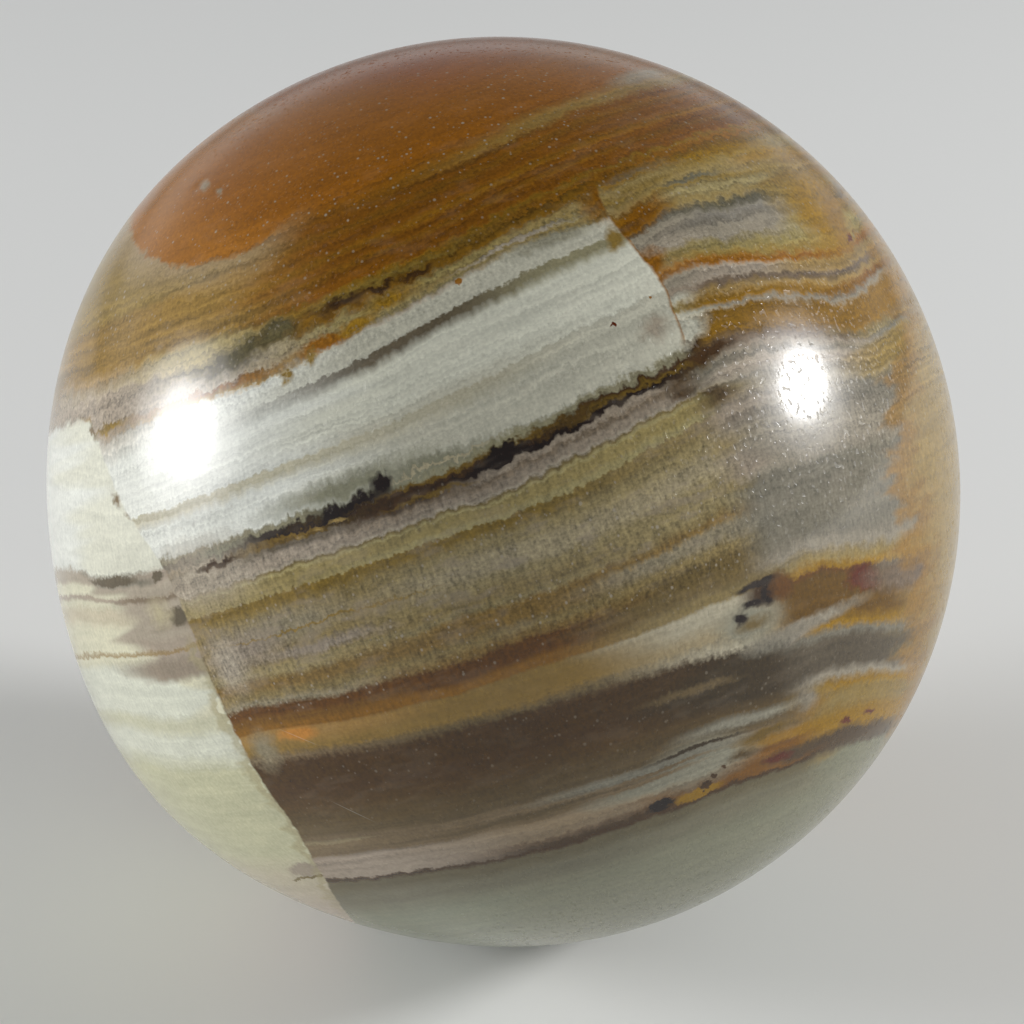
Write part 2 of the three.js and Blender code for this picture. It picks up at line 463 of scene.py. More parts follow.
# Marks that cross from the main block into the right one, by height up the ball
CROSSING_MARKS = rows_of(Mark, [
    ("chalk", 0.365, -0.35, 0.06, 0.036, 0.8),
    ("pearl", 0.48, -0.4, 0.11, 0.013, 1),
    ("olive dim", 0.374, -0.354, 0.03, 0.013, 1.2),
    ("pewter", 0.395, -0.405, 0.05, 0.015, 1.2),
    ("gold brown", 0.335, -0.58, 0.062, 0.011, 1),
    ("mud", 0.278, -0.604, 0.026, 0.009, 1),
    ("soot brown", 0.42, -0.3, 0.048, 0.024, 0.9),
    ("soot", 0.352, -0.336, 0.014, 0.013, 0.6),
    ("soot", 0.385, -0.316, 0.026, 0.008, 0.6),
    ("soot", 0.402, -0.284, 0.04, 0.007, 0.6),
    ("soot", 0.42, -0.31, 0.012, 0.02, 0.6),
    ("umber", 0.452, -0.306, 0.02, 0.024, 1),
])

# Scratches on the near half: middle along the layers and up the ball, length, and turn in degrees
SCRATCHES = [
    (0.318, 0.194, 0.03, -55),
    (0.304, 0.195, 0.016, -40),
    (-0.53, -0.275, 0.07, -40),
    (-0.485, -0.455, 0.08, -45),
]
SCRATCH_WIDTH = 0.0014

# What the upper edges of the main block's layers are like, by height up the stack:
# how toothed, how domed, how frayed and how fibrous, each from 0 to 1
MAIN_EDGES = [
    (-0.9, 0, 0, 0.1, 0),
    (-0.67, 0, 0.3, 0.2, 0),
    (-0.64, 0, 0.5, 0.6, 0.2),
    (-0.6, 0, 0, 0.1, 0),
    (-0.52, 0, 0, 0.2, 0.1),
    (-0.39, 0, 0.3, 0.3, 0.5),
    (-0.34, 0, 0, 0.4, 0.3),
    (-0.29, 0, 0, 0.15, 0),
    (-0.22, 0, 0, 0.4, 0.3),
    (-0.03, 0.2, 0.1, 0.5, 0.4),
    (0.01, 1, 0.3, 0.1, 0.1),
    (0.03, 0.3, 0.5, 0.2, 0.1),
    (0.055, 0.1, 1, 0.2, 0),
    (0.08, 0.1, 0.7, 0.5, 0.1),
    (0.12, 0.4, 1, 0.9, 0.2),
    (0.15, 0.2, 0.6, 0.7, 0.6),
    (0.25, 0.7, 0.2, 0.4, 0.2),
    (0.38, 0.7, 0.3, 0.1, 0),
    (0.41, 0.7, 0.3, 0.1, 0),
    (0.44, 0.1, 0.4, 0.5, 0.2),
    (0.47, 0.1, 0.6, 0.8, 0.2),
    (0.5, 0.3, 1, 1, 0.1),
    (0.57, 0, 0.2, 0.3, 0.1),
    (0.66, 0, 0, 0.6, 0.2),
    (0.75, 0, 0, 0.3, 0),
    (0.95, 0, 0, 0.3, 0),
]
# How high an edge's teeth and the rest are where they are strongest, in ball radii
TOOTH_HEIGHT = 0.009
DOME_HEIGHT = 0.013
FRAY_HEIGHT = 0.011
FIBRE_HEIGHT = 0.010
GRAIN_HEIGHT = 0.002

# What the stone between those edges is like, by height up the stack: how finely laminated,
# how specked (the specks partly painted glints), how blotched and how fibrous, each from 0 to 1
MAIN_BODIES = [
    (-0.9, 0.2, 0.1, 0.1, 0.1),
    (-0.66, 0.15, 0.1, 0.1, 0.1),
    (-0.6, 0.7, 0.1, 0.2, 0.2),
    (-0.54, 0.45, 0.2, 0.1, 0.3),
    (-0.46, 0.25, 0.3, 0.2, 0.4),
    (-0.37, 0.15, 0.35, 0.1, 0.6),
    (-0.32, 0.15, 0, 0.1, 0.1),
    (-0.27, 0.2, 0.3, 0.2, 0.5),
    (-0.22, 0.25, 1, 0.3, 0.9),
    (-0.1, 0.3, 1, 1, 0.8),
    (0.0, 0.3, 0.8, 0.7, 0.8),
    (0.03, 0.4, 0.3, 0.4, 0.5),
    (0.08, 0.6, 0.5, 0.5, 0.8),
    (0.12, 0.5, 0.2, 0.2, 0.5),
    (0.16, 0.2, 0.2, 0.1, 0.2),
    (0.25, 0.45, 0.2, 0.2, 0.2),
    (0.35, 0.3, 0.1, 0.1, 0.1),
    (0.41, 0.25, 0.1, 0.1, 0.3),
    (0.46, 0.7, 0.4, 0.3, 0.7),
    (0.52, 0.9, 0.5, 0.15, 0.5),
    (0.58, 1, 0.6, 0.2, 0.45),
    (0.66, 0.8, 1, 0.2, 0.35),
    (0.74, 0.15, 0.9, 0.1, 0.3),
    (0.95, 0.05, 0.5, 0, 0.1),
]
# and the same for the right block, by height
RIGHT_BODIES = [
    (-0.75, 0.3, 0.1, 0.2, 0.3),
    (-0.3, 0.3, 0.2, 0.1, 0.4),
    (-0.15, 0.4, 0.5, 0.2, 0.5),
    (0.05, 0.9, 0.8, 0.3, 0.5),
    (0.25, 0.8, 0.6, 0.2, 0.4),
    (0.4, 0.9, 0.6, 0.3, 0.4),
    (0.5, 1, 0.7, 0.3, 0.5),
]
# The right block's edges, and the left block's edges and stone, are the same at every height
RIGHT_EDGES = (0.2, 0.5, 0.6, 0.2)
LEFT_EDGES = (0.2, 0.3, 0.4, 0.1)
LEFT_BODY = (0.1, 0.1, 0.0, 0.12)


def linear(colour):
    """An sRGB colour from 0 to 255 as linear light from 0 to 1."""
    parts = [part / 255 for part in colour]
    return [((p + 0.055) / 1.055) ** 2.4 if p > 0.04045 else p / 12.92 for p in parts]


def stone_colour(name):
    return (*linear(PALETTE[name]), 1.0)


class Field:
    """A number, colour or vector that varies through the stone: one output of the node tree."""

    def __init__(self, graph, socket):
        self.graph = graph
        self.socket = socket

    def __add__(self, other):
        return self.graph.math("ADD", self, other)

    def __sub__(self, other):
        return self.graph.math("SUBTRACT", self, other)

    def __mul__(self, other):
        return self.graph.math("MULTIPLY", self, other)

    __radd__ = __add__
    __rmul__ = __mul__


class Graph:
    """Adds nodes to a material. Inputs may be fields or plain values."""

    def __init__(self, material):
        self.nodes = material.node_tree.nodes
        self.links = material.node_tree.links

    def node(self, kind, inputs, output=0, **settings):
        made = self.nodes.new("ShaderNode" + kind)
        for name, value in settings.items():
            setattr(made, name, value)
        for place, value in inputs.items():
            if isinstance(value, Field):
                self.links.new(value.socket, made.inputs[place])
            else:
                made.inputs[place].default_value = value
        return Field(self, made.outputs[output])

    def math(self, operation, a, b=0.0, c=0.0, clamp=False):
        return self.node("Math", {0: a, 1: b, 2: c}, operation=operation, use_clamp=clamp)

    def between(self, value, low, high, to_low=0.0, to_high=1.0):
        """Goes straight from to_low to to_high while the value goes from low to high."""
        return self.node("MapRange", {0: value, 1: low, 2: high, 3: to_low, 4: to_high})

    def step(self, value, low, high):
        """Goes smoothly from 0 to 1 while the value goes from low to high."""
        places = {0: value, 1: low, 2: high}
        return self.node("MapRange", places, interpolation_type="SMOOTHSTEP")

    def mix(self, amount, a, b):
        return self.node("Mix", {0: amount, 6: a, 7: b}, output=2, data_type="RGBA")

    def vector(self, x, y, z):
        return self.node("CombineXYZ", {0: x, 1: y, 2: z})

    def scaled(self, place, x, y, z):
        return self.node("VectorMath", {0: place, 1: (x, y, z)}, operation="MULTIPLY")

    def noise(self, place, detail=2.0, roughness=0.5):
        """Smooth noise from about -1 to 1, with one wave or so to each unit of the place."""
        inputs = {"Vector": place, "Scale": 1.0, "Detail": detail, "Roughness": roughness}
        value = self.node("TexNoise", inputs, noise_dimensions="3D")
        return self.between(value, 0.25, 0.75, -1.0, 1.0)

    def cells(self, place, flat=False):
        """How far a place lies from the nearest of a set of points about one unit apart."""
        inputs = {"Vector": place, "Scale": 1.0}
        return self.node("TexVoronoi", inputs, voronoi_dimensions="2D" if flat else "3D")

    def shaders(self, share, below, above):
        """Two shaders mixed; where the share is 0 or 1 the other one costs nothing."""
        return self.node("MixShader", {0: share, 1: below, 2: above})

    def curve(self, value, points):
        """A smooth curve through points whose two parts both lie between 0 and 1."""
        field = self.node("FloatCurve", {"Value": value})
        mapping = field.socket.node.mapping
        mapping.extend = "HORIZONTAL"
        line = mapping.curves[0]
        line.points[0].location = points[0]
        line.points[1].location = points[-1]
        for point in points[1:-1]:
            line.points.new(*point)
        for point in line.points:
            point.handle_type = "AUTO_CLAMPED"
        mapping.update()
        return field

    def ramp(self, value, stops):
        """A colour that goes straight from each stop to the next; stops lie between 0 and 1."""
        colour = self.node("ValToRGB", {0: value})
        elements = colour.socket.node.color_ramp.elements
        elements[0].position, elements[1].position = stops[0][0], stops[-1][0]
        elements[0].color, elements[1].color = stops[0][1], stops[-1][1]
        for position, shade in stops[1:-1]:
            elements.new(position).color = shade
        return colour


def to_unit(value):
    """Moves a place between -1 and 1 to between 0 and 1, as curves need it."""
    return value * 0.5 + 0.5


class Stone:
    """The fields that the whole pattern is made from."""

    def __init__(self, graph, middle):
        self.graph = graph
        self.place = self.place_in_ball(middle)
        self.along = self.part_along(LAYER_ALONG)
        self.out = self.part_along(LAYER_OUT)
        self.up = self.part_along(LAYER_UP)
        self.turn_the_back()
        self.make_noises()

    def place_in_ball(self, middle):
        metres = self.graph.node("TexCoord", {}, output=3)
        inputs = {0: metres, 1: middle}
        moved = self.graph.node("VectorMath", inputs, operation="SUBTRACT")
        inputs = {0: moved, 3: 1 / BALL_RADIUS}
        return self.graph.node("VectorMath", inputs, operation="SCALE")

    def part_along(self, axis):
        inputs = {0: self.place, 1: axis}
        return self.graph.node("VectorMath", inputs, output=1, operation="DOT_PRODUCT")

    def turn_the_back(self):
        """Slants the cracks and bends the layers in the far half, which isn't the near one mirrored."""
        graph = self.graph
        far = graph.step(self.out, -0.05, -0.95)
        bend = graph.noise(self.place, detail=0.0)
        self.along = self.along + far * 0.42
        self.up = self.up + far * bend * 0.10

    def scaled(self, along, out, up):
        """The place for a noise with so many waves to a ball radius in each direction."""
        return self.graph.scaled(self.bent_place, along, out, up)

    def make_noises(self):
        graph = self.graph
        self.bent_place = graph.vector(self.along, self.out, self.up)
        self.wobble = graph.noise(self.scaled(6.0, 6.0, 9.0), detail=1.0)
        self.drift = graph.noise(self.scaled(2.5, 2.5, 24.0), detail=1.0)
        self.fibre = graph.noise(self.scaled(110.0, 110.0, 12.0), detail=1.0)
        self.fray = graph.noise(self.scaled(32.0, 32.0, 42.0), detail=2.0, roughness=0.6)
        self.grain = graph.noise(self.scaled(150.0, 150.0, 190.0), detail=1.0)
        self.cloud = graph.noise(self.scaled(10.0, 10.0, 30.0), detail=2.0, roughness=0.7)
        self.teeth = graph.cells(self.scaled(80.0, 80.0, 0.0), flat=True) - 0.42
        self.domes = graph.cells(self.scaled(34.0, 34.0, 0.0), flat=True) - 0.42
        self.streaks = graph.noise(self.scaled(140.0, 140.0, 46.0), detail=1.0)
        self.make_specks_and_glints()
        self.ragged_along = self.along + self.fray * 0.010
        self.off_front = graph.between(self.out, 0.1, 0.0, 0.0, 3.0)

    def make_specks_and_glints(self):
        """Pale specks of uneven size, in about one cell of three: partly the stone's own, partly painted
        glints of small pits that catch the light.
        """
        graph = self.graph
        away = graph.cells(self.scaled(105.0, 105.0, 85.0))
        chance = Field(graph, away.socket.node.outputs[1])
        size = graph.between(chance, 0.50, 1.0, 0.0, 0.50)
        self.speck_and_glint = graph.math("MULTIPLY_ADD", size - away, 5.0, 0.0, clamp=True)

    def tooth_edge(self, edges):
        """How far a layer's edge departs from its even course."""
        toothed, domed, frayed, fibrous = edges
        ragged = self.teeth * toothed * TOOTH_HEIGHT + self.domes * domed * DOME_HEIGHT
        ragged = ragged + self.fray * frayed * FRAY_HEIGHT + self.grain * GRAIN_HEIGHT
        return ragged + self.fibre * fibrous * FIBRE_HEIGHT


def levelled(stone, block):
    """The height in a block whose marker beds are all made level, at the height of its middle station."""
    graph = stone.graph
    along = to_unit(stone.along)
    up = to_unit(stone.up + stone.wobble * 0.005)
    low, low_height = 0.0, -1.0
    height = -1.0
    ceiling = (1.0,) * len(block.stations)
    for heights in (*block.beds.values(), ceiling):
        points = [(to_unit(x), to_unit(y)) for x, y in zip(block.stations, heights)]
        high = graph.curve(along, points) if heights is not ceiling else 1.0
        high_height = heights[block.middle]
        height = height + graph.between(up, low, high, 0.0, high_height - low_height)
        low, low_height = high, high_height
    return height


def by_height(graph, height, rows):
    """The four fields that a list of rows gives by height."""
    low, high = rows[0][0], rows[-1][0]
    stops = [((row[0] - low) / (high - low), tuple(row[1:])) for row in rows]
    colour = graph.ramp(graph.between(height, low, high), stops)
    parts = graph.node("SeparateColor", {0: colour}).socket.node.outputs
    return [Field(graph, part) for part in (*parts, colour.socket.node.outputs[1])]


# How many layers fit into one colour ramp, which takes 32 stops at most
LAYERS_A_RAMP = 14


def layers_between(layers, low, high):
    first = next(i for i, layer in enumerate(layers) if layer.top > low)
    last = next(i for i, layer in enumerate(layers) if layer.top >= high)
    return layers[first:last + 1]


def layered(stone, height, block, reach):
    """A block's colour: three columns of ramps, running into each other along the layers."""
    graph = stone.graph
    layers = layers_between(block.layers, *reach)
    columns = {"left": None, "colour": None, "right": None}
    for start in range(0, len(layers), LAYERS_A_RAMP):
        group = layers[start:start + LAYERS_A_RAMP + 1]
        bottom = layers[start - 1].top if start else reach[0]
        low, high = bottom - 0.001, group[-1].top + 0.001
        place = graph.between(height, low, high)
        join = (bottom + group[0].top) / 2
        reached = graph.step(height, join - 0.0005, join + 0.0005) if start else None
        for side, below in columns.items():
            shade = graph.ramp(place, ramp_stops(group, side, (low, high), block.soften))
            columns[side] = graph.mix(reached, below, shade) if start else shade
    along = stone.along + stone.drift * 0.07
    colour = graph.mix(graph.step(along, *block.from_left), columns["left"], columns["colour"])
    return graph.mix(graph.step(along, *block.to_right), colour, columns["right"])


def ramp_stops(group, side, reach, soften):
    """The stops of the ramp that covers a group of layers, as one side of their block shows them."""
    low, high = reach
    shades = [stone_colour(getattr(layer, side) or layer.colour) for layer in group]
    tops = [low, *(layer.top for layer in group)]
    stops = [(0.0, shades[0])]
    for i, layer in enumerate(group[:-1]):
        room = min(tops[i + 1] - tops[i], tops[i + 2] - tops[i + 1])
        soft = min(layer.soft * soften, 0.9 * room)
        for edge, colour in ((-0.5, shades[i]), (0.5, shades[i + 1])):
            stops.append(((layer.top + edge * soft - low) / (high - low), colour))
    return [*stops, (1.0, shades[-1])]


def window(graph, value, reach, soft):
    """1 within the reach and 0 outside it, with its own softness at each end."""
    low, high = reach
    rising = graph.step(value, low - soft[0] / 2, low + soft[0] / 2)
    return rising * graph.step(value, high + soft[1] / 2, high - soft[1] / 2)


def marked(stone, colour, height, marks):
    """Lays oval marks over the near half, by their place along the layers and up the stack."""
    graph = stone.graph
    here = graph.vector(stone.ragged_along, height, stone.off_front)
    for mark in marks:
        scale = (1 / mark.long, 1 / mark.tall, 1.0)
        shift = (-mark.along / mark.long, -mark.up / mark.tall, 0.0)
        inputs = {0: here, 1: scale, 2: shift}
        offset = graph.node("VectorMath", inputs, operation="MULTIPLY_ADD")
        colour = graph.mix(inside(graph, offset, mark.soft), colour, stone_colour(mark.colour))
    return colour


def inside(graph, offset, soft):
    """1 where an offset is well below one unit long, and 0 where it is longer."""
    away = graph.node("VectorMath", {0: offset}, output=1, operation="LENGTH")
    return graph.math("MULTIPLY_ADD", away, -1 / soft, 1 / soft + 0.5, clamp=True)


def coloured(stone, height, block, marks, reach=(-1.0, 1.0)):
    """A block's colour between two heights: its layers there, with the marks over them."""
    colour = layered(stone, height, block, reach)
    return marked(stone, colour, height, [mark for mark in marks if is_between(mark, *reach)])


def is_between(mark, low, high):
    """Whether some of a mark, its soft edge too, lies between two heights."""
    spread = mark.tall * (1 + mark.soft / 2)
    return mark.up + spread > low and mark.up - spread < high


# The two old cracks that part the blocks: height up the stack, and place along it
LEFT_CRACK = [
    (-1.0, -0.6), (-0.6, -0.605), (-0.45, -0.617), (-0.35, -0.638), (-0.2, -0.655),
    (0.1, -0.67), (0.25, -0.715), (0.42, -0.735), (0.6, -0.745), (1.0, -0.75),
]
RIGHT_CRACK = [(-1.0, 0.42), (0.10, 0.42), (0.30, 0.425), (0.42, 0.39), (0.50, 0.37), (1.0, 0.40)]
RIGHT_CRACK_TOP = 0.545
LEFT_CRACK_TOP = 0.450
CRACK_TOP_SOFTNESS = 0.012
# A line of colour along a crack: its reach across the crack and up the stack, each with how
# softly it begins and ends there, and its strength
Line = namedtuple("Line", "colour across across_soft up up_soft strength")
RUST_LINE = Line("rust", (-0.01, 0.004), (0.004, 0.004), (0.20, 0.44), (0.02, 0.04), 0.8)
VEIN = Line("vein", (-0.02, 0.001), (0.02, 0.006), (-0.70, -0.03), (0.10, 0.06), 0.6)

# Where the rind at the right begins, tan at first and paler outwards, the paler part being painted light
# from the stone's translucent right edge: height up the stack, and place along it
RIND_AND_GLOW = [
    (-1.0, 0.56), (-0.64, 0.66), (-0.37, 0.74), (-0.22, 0.75), (-0.05, 0.8), (0.05, 0.87),
    (0.25, 0.9), (0.4, 0.86), (0.55, 0.8), (1.0, 0.4),
]


def past(stone, points, ragged=0.003):
    """How far a place lies to the right of a line that crosses the layers."""
    graph = stone.graph
    up = to_unit(stone.up)
    line = graph.curve(up, [(to_unit(x), to_unit(y)) for x, y in points])
    return stone.along + stone.fray * ragged - (line * 2.0 - 1.0)


def ended(graph, up, crack_top):
    """1 below the upper end of a crack, and 0 above it."""
    return graph.step(up, crack_top + CRACK_TOP_SOFTNESS, crack_top - CRACK_TOP_SOFTNESS)


def lined(stone, colour, past_crack, line):
    """Lays a line of colour along a crack."""
    graph = stone.graph
    share = window(graph, past_crack, line.across, line.across_soft)
    share = share * window(graph, stone.up, line.up, line.up_soft) * line.strength
    return graph.mix(share, colour, stone_colour(line.colour))


def scratched(stone):
    """How near a place lies to one of the scratches, from 0 to 1."""
    graph = stone.graph
    here = graph.vector(stone.along, stone.up, stone.off_front)
    marks = 0.0
    for along, up, length, turn in SCRATCHES:
        inputs = {
            "Vector": here,
            "Location": (along, up, 0.0),
            "Rotation": (0.0, 0.0, math.radians(turn)),
            "Scale": (length / 2, SCRATCH_WIDTH / 2, 1.0),
        }
        offset = graph.node("Mapping", inputs, vector_type="TEXTURE")
        marks = graph.math("MAXIMUM", marks, inside(graph, offset, 0.8))
    return marks


def stone_shader(stone, polish):
    """The whole stone: the shader of each block, and in the main one of each part, where it lies."""
    graph = stone.graph
    past_right = past(stone, RIGHT_CRACK)
    # The right crack is blurred low down and sharp higher up
    softness = graph.between(stone.up, 0.10, 0.22, 0.05, 0.004)
    in_right = graph.step(past_right, softness * -1.0, softness)
    top = stone.up + stone.fray * 0.008
    in_right = in_right * ended(graph, top, RIGHT_CRACK_TOP)
    past_left = past(stone, LEFT_CRACK)
    in_left = graph.step(past_left, 0.003, -0.003)
    in_left = in_left * ended(graph, top, LEFT_CRACK_TOP)
    # The rind at the right: tan stone, then paler outwards with painted light from the translucent edge
    rind_and_glow = past(stone, RIND_AND_GLOW) + stone.drift * 0.03 + stone.cloud * 0.04
    crossing = stone.up + stone.fray * 0.006
    main = main_shader(stone, polish, rind_and_glow, crossing)
    right = right_shader(stone, polish, past_right, rind_and_glow, crossing)
    left = left_shader(stone, polish, past_left)
    return graph.shaders(in_left, graph.shaders(in_right, main, right), left)


def main_shader(stone, polish, rind_and_glow, crossing):
    graph = stone.graph
    level = levelled(stone, MAIN_BLOCK)
    height = level + stone.tooth_edge(by_height(graph, level, MAIN_EDGES))
    body = by_height(graph, height, MAIN_BODIES)
    shader = None
    for reach in zip((-1.0, *MAIN_CUTS), (*MAIN_CUTS, 1.0)):
        colour = coloured(stone, height, MAIN_BLOCK, MAIN_MARKS, reach)
        if reach[0] == -1.0:
            colour = marked(stone, colour, crossing, CROSSING_MARKS)
        if reach[1] == 1.0:
            colour = rinded_and_glowing(graph, colour, rind_and_glow)
        above = polish.shader(textured(stone, colour, height, body))
        share = graph.step(height, reach[0] - 0.0005, reach[0] + 0.0005)
        shader = graph.shaders(share, shader, above) if shader else above
    return shader


def right_shader(stone, polish, past_right, rind_and_glow, crossing):
    graph = stone.graph
    height = levelled(stone, RIGHT_BLOCK) + stone.tooth_edge(RIGHT_EDGES)
    colour = coloured(stone, height, RIGHT_BLOCK, RIGHT_MARKS)
    colour = marked(stone, colour, crossing, CROSSING_MARKS)
    colour = lined(stone, colour, past_right, RUST_LINE)
    colour = rinded_and_glowing(graph, colour, rind_and_glow)
    return polish.shader(textured(stone, colour, height, by_height(graph, height, RIGHT_BODIES)))


def left_shader(stone, polish, past_left):
    height = levelled(stone, LEFT_BLOCK) + stone.tooth_edge(LEFT_EDGES)
    colour = coloured(stone, height, LEFT_BLOCK, LEFT_MARKS)
    colour = lined(stone, colour, past_left + stone.cloud * 0.02, VEIN)
    return polish.shader(textured(stone, colour, height, LEFT_BODY))


def rinded_and_glowing(graph, colour, rind_and_glow):
    """Adds the rind, tan where it begins, and paler towards the outside with painted light: the glow of
    light through the stone's translucent right edge.
    """
    colour = graph.mix(graph.step(rind_and_glow, -0.03, 0.03) * 0.8, colour, stone_colour("rind tan"))
    return graph.mix(graph.step(rind_and_glow, 0.01, 0.12) * 0.85, colour, stone_colour("pale peach glow"))


def textured(stone, colour, height, body):
    """Adds the fine layering, fibres, blotches and specks to the layers' colours; the specks are partly
    painted glints of small pits.
    """
    graph = stone.graph
    laminated, specked_and_glinting, blotched, fibrous = body
    place = graph.vector(stone.along * 2.0, stone.out * 2.0, height * 90.0)
    laminae = graph.noise(place, detail=2.0, roughness=0.7)
    shade = laminae * (laminated * 0.42 + 0.04) + stone.cloud * 0.08 + 1.0
    shade = shade + stone.fibre * (fibrous * 0.10 + 0.01)
    shade = shade + (stone.grain + stone.streaks) * (fibrous * 0.28 + 0.035)
    tint = graph.node("CombineColor", {0: shade, 1: shade, 2: shade})
    inputs = {0: 1.0, 6: colour, 7: tint}
    colour = graph.node("Mix", inputs, output=2, data_type="RGBA", blend_type="MULTIPLY")
    blotch = graph.step(stone.cloud, 0.0, 0.7) * blotched * 0.5
    colour = graph.mix(blotch, colour, stone_colour("lilac"))
    # Painted glints: the pale specks stand partly for small pits catching the light, partly for the stone's
    # own specks
    speck_and_glint = stone.speck_and_glint * specked_and_glinting * 0.85
    colour = graph.mix(speck_and_glint, colour, stone_colour("lilac pale"))
    return graph.mix(stone.scratch * 0.22, colour, stone_colour("milk"))


# How the polish took: its roughness, and in metres the height of the fine marks that are left
POLISH_ROUGHNESS = 0.17
STREAK_HEIGHT = 0.5e-6
PIT_DEPTH = 4e-6
# The pits begin between these two places along the layers, and go on to the right
PITS_FROM = (-0.50, -0.20)


class Polish:
    """The ground and polished surface, with fine streaks and small open pits."""

    def __init__(self, graph, rough, pitted):
        self.graph = graph
        metres = graph.node("TexCoord", {}, output=3)
        streaks = graph.noise(graph.scaled(metres, 5200.0, 5200.0, 700.0), detail=1.0)
        pores = graph.noise(graph.scaled(metres, 4300.0, 4300.0, 3100.0), detail=0.0)
        pits = graph.step(pores, 0.72, 0.90) * pitted
        height = streaks * STREAK_HEIGHT - pits * PIT_DEPTH
        inputs = {"Strength": 1.0, "Distance": 1.0, "Height": height}
        self.normal = graph.node("Bump", inputs)
        self.roughness = rough * 0.04 + pits * 0.20 + POLISH_ROUGHNESS

    def shader(self, colour):
        inputs = {
            "Base Color": colour,
            "Roughness": self.roughness,
            "IOR": 1.50,
            "Normal": self.normal,
        }
        return self.graph.node("BsdfPrincipled", inputs)


def onyx_material(middle):
    material = bpy.data.materials.new("polished_onyx")
    material.use_nodes = True
    graph = Graph(material)
    graph.nodes.remove(graph.nodes["Principled BSDF"])
    stone = Stone(graph, middle)
    stone.scratch = scratched(stone)
    pitted = graph.step(stone.along, *PITS_FROM)
    shader = stone_shader(stone, Polish(graph, stone.cloud, pitted))
    graph.links.new(shader.socket, graph.nodes["Material Output"].inputs["Surface"])
    return material


def geodesic(frequency):
    """Unit vectors and triangles of an icosahedron with each edge cut into that many parts."""
    seed = bmesh.new()
    bmesh.ops.create_icosphere(seed, subdivisions=1, radius=1.0)
    corners = [[np.array(vertex.co) for vertex in face.verts] for face in seed.faces]
    seed.free()
    steps = [(i, j) for i in range(frequency + 1) for j in range(frequency + 1 - i)]
    index = {step: k for k, step in enumerate(steps)}
    weights = np.array([(frequency - i - j, i, j) for i, j in steps]) / frequency
    triangles = []
    for i, j in steps:
        if i + j < frequency:
            triangles.append((index[i, j], index[i + 1, j], index[i, j + 1]))
        if i + j < frequency - 1:
            triangles.append((index[i + 1, j], index[i + 1, j + 1], index[i, j + 1]))
    points = np.concatenate([weights @ np.array(three) for three in corners])
    faces = np.concatenate([np.array(triangles) + k * len(steps) for k in range(len(corners))])
    _, first, shared = np.unique(
        np.round(points, 6), axis=0, return_index=True, return_inverse=True
    )
    points = points[first]
    points /= np.linalg.norm(points, axis=1, keepdims=True)
    return points, shared.reshape(-1)[faces]


def radius_toward(directions):
    """The radius of the stone in each direction, with its uneven spots."""
    radius = np.full(len(directions), BALL_RADIUS)
    for toward, rise, spread in (*UNEVEN_SPOTS, *chip_spots(), *small_chip_spots()):
        spot = np.array(toward) / np.linalg.norm(toward)
        angle = np.degrees(np.arccos(np.clip(directions @ spot, -1, 1)))
        radius += rise * np.exp(-((angle / spread) ** 2))
    return radius


def chip_spots():
    for along, up, depth, spread in CHIPS:
        out = math.sqrt(1 - along ** 2 - up ** 2)
        toward = LAYER_ALONG * along + LAYER_UP * up + LAYER_OUT * out
        yield toward, -depth, spread


def small_chip_spots():
    chance = random.Random(7)
    for _ in range(SMALL_CHIPS):
        toward = [chance.gauss(0, 1) for _ in range(3)]
        size = chance.uniform(0.4, 1.0)
        yield toward, -SMALL_CHIP_DEPTH * size, SMALL_CHIP_SPREAD * size


def ball_mesh():
    """The ball with its ground flat, and where its middle is. It stands where the CAD node does."""
    directions, faces = geodesic(FACETS_PER_EDGE)
    points = directions * radius_toward(directions)[:, None]
    foot_height = -math.sqrt(BALL_RADIUS ** 2 - FOOT_RADIUS ** 2)
    points[:, 2] = np.maximum(points[:, 2], foot_height)
    low, high = (np.array(corner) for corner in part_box(NODE))
    middle = (low + high) / 2 - (points.min(0) + points.max(0)) / 2
    middle[2] = low[2] - foot_height
    mesh = bpy.data.meshes.new("onyx_ball")
    mesh.from_pydata((points + middle).tolist(), [], faces.tolist())
    mesh.shade_smooth()
    return mesh, Vector(middle)


def make_ball():
    mesh, middle = ball_mesh()
    ball = bpy.data.objects.new("onyx_ball", mesh)
    bpy.context.scene.collection.objects.link(ball)
    ball.data.materials.append(onyx_material(middle))
    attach(ball, "root")
    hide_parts(NODE)
    return middle


def make_camera(middle):
    """Looks at the ball as the photograph does, with the ball a little off the picture's middle."""
    ahead = Vector((0, math.cos(CAMERA_RISE), -math.sin(CAMERA_RISE)))
    right = Vector((1, 0, 0))
    up = right.cross(ahead)
    aside = (PHOTO_WIDTH_PX / 2 - BALL_MIDDLE_PX[0]) / FOCAL_PX
    below = (PHOTO_WIDTH_PX / 2 - BALL_MIDDLE_PX[1]) / FOCAL_PX
    looking = (ahead + right * aside - up * below).normalized()
    data = bpy.data.cameras.new("camera")
    data.sensor_width = SENSOR_WIDTH_MM
    data.lens = FOCAL_PX / PHOTO_WIDTH_PX * SENSOR_WIDTH_MM
    data.clip_start = 0.01
    camera = bpy.data.objects.new("camera", data)
    bpy.context.scene.collection.objects.link(camera)
    camera.location = middle - ahead * CAMERA_DISTANCE
    camera.rotation_euler = looking.to_track_quat("-Z", "Y").to_euler()
    bpy.context.scene.camera = camera


# The soft lamps, at each side a bright one inside a dim wide one: direction from the ball,
# how far they reach to each side and up and down in degrees, and how bright they are
Lamp = namedtuple("Lamp", "toward wide high brightness")

LAMPS = [
    Lamp((-0.972, -0.033, 0.232), 10.0, 7.5, 19.0),
    Lamp((-0.972, -0.033, 0.232), 18.0, 15.0, 4.6),
    Lamp((0.930, 0.012, 0.365), 7.5, 5.0, 54.0),
    Lamp((0.930, 0.012, 0.365), 15.0, 12.0, 3.7),
]
LAMP_DISTANCE = 0.6
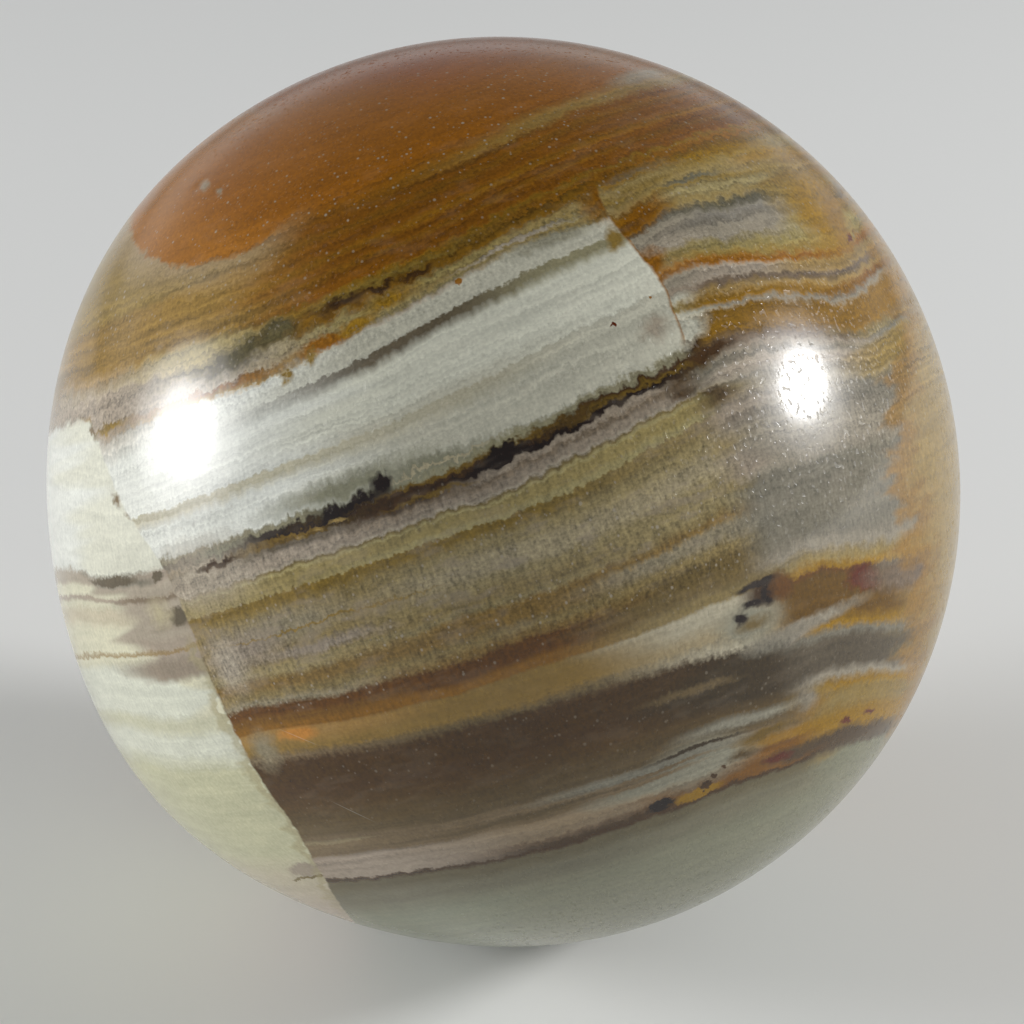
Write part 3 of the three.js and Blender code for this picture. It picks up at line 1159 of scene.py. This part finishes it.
# The studio's own light by height above the horizon, from 0 to 1 overhead
SKY = [
    (0.0, (0.38, 0.385, 0.38, 1.0)),
    (0.07, (0.55, 0.57, 0.575, 1.0)),
    (0.12, (0.6, 0.63, 0.645, 1.0)),
    (0.26, (0.34, 0.37, 0.4, 1.0)),
    (0.9, (0.115, 0.11, 0.095, 1.0)),
    (1.0, (0.115, 0.11, 0.095, 1.0)),
]
FLOOR_COLOUR = (0.86, 0.86, 0.85)
FLOOR_SIDE = 6.0


def make_lamp(middle, lamp):
    """An oval lamp that faces the ball from a fixed distance."""
    toward = Vector(lamp.toward).normalized()
    data = bpy.data.lights.new("soft_lamp", "AREA")
    data.shape = "ELLIPSE"
    data.size = 2 * LAMP_DISTANCE * math.tan(math.radians(lamp.wide))
    data.size_y = 2 * LAMP_DISTANCE * math.tan(math.radians(lamp.high))
    data.energy = lamp.brightness * math.pi * (math.pi / 4 * data.size * data.size_y)
    made = bpy.data.objects.new("soft_lamp", data)
    bpy.context.scene.collection.objects.link(made)
    made.location = middle + toward * LAMP_DISTANCE
    made.rotation_euler = (-toward).to_track_quat("-Z", "Y").to_euler()


def make_lights(middle):
    """A studio around the ball: pale near the floor, dim overhead, with a soft lamp at each side."""
    for lamp in LAMPS:
        make_lamp(middle, lamp)
    world = bpy.data.worlds.new("soft_studio")
    bpy.context.scene.world = world
    world.use_nodes = True
    graph = Graph(world)
    direction = graph.node("TexCoord", {}, output=0)
    inputs = {0: direction, 1: (0.0, 0.0, 1.0)}
    rise = graph.node("VectorMath", inputs, output=1, operation="DOT_PRODUCT")
    sky = graph.ramp(rise, SKY)
    graph.links.new(sky.socket, graph.nodes["Background"].inputs["Color"])
    world.cycles.sampling_method = "NONE"


def make_floor():
    mesh = bpy.data.meshes.new("floor")
    half = FLOOR_SIDE / 2
    corners = [(-half, -half, 0), (half, -half, 0), (half, half, 0), (-half, half, 0)]
    mesh.from_pydata(corners, [], [(0, 1, 2, 3)])
    floor = bpy.data.objects.new("floor", mesh)
    bpy.context.scene.collection.objects.link(floor)
    material = bpy.data.materials.new("pale_floor")
    material.use_nodes = True
    graph = Graph(material)
    matt = graph.node("BsdfDiffuse", {"Color": (*FLOOR_COLOUR, 1.0)})
    graph.links.new(matt.socket, graph.nodes["Material Output"].inputs["Surface"])
    floor.data.materials.append(material)


bpy.context.scene.view_settings.view_transform = "Standard"
ball_middle = make_ball()
make_camera(ball_middle)
make_lights(ball_middle)
make_floor()
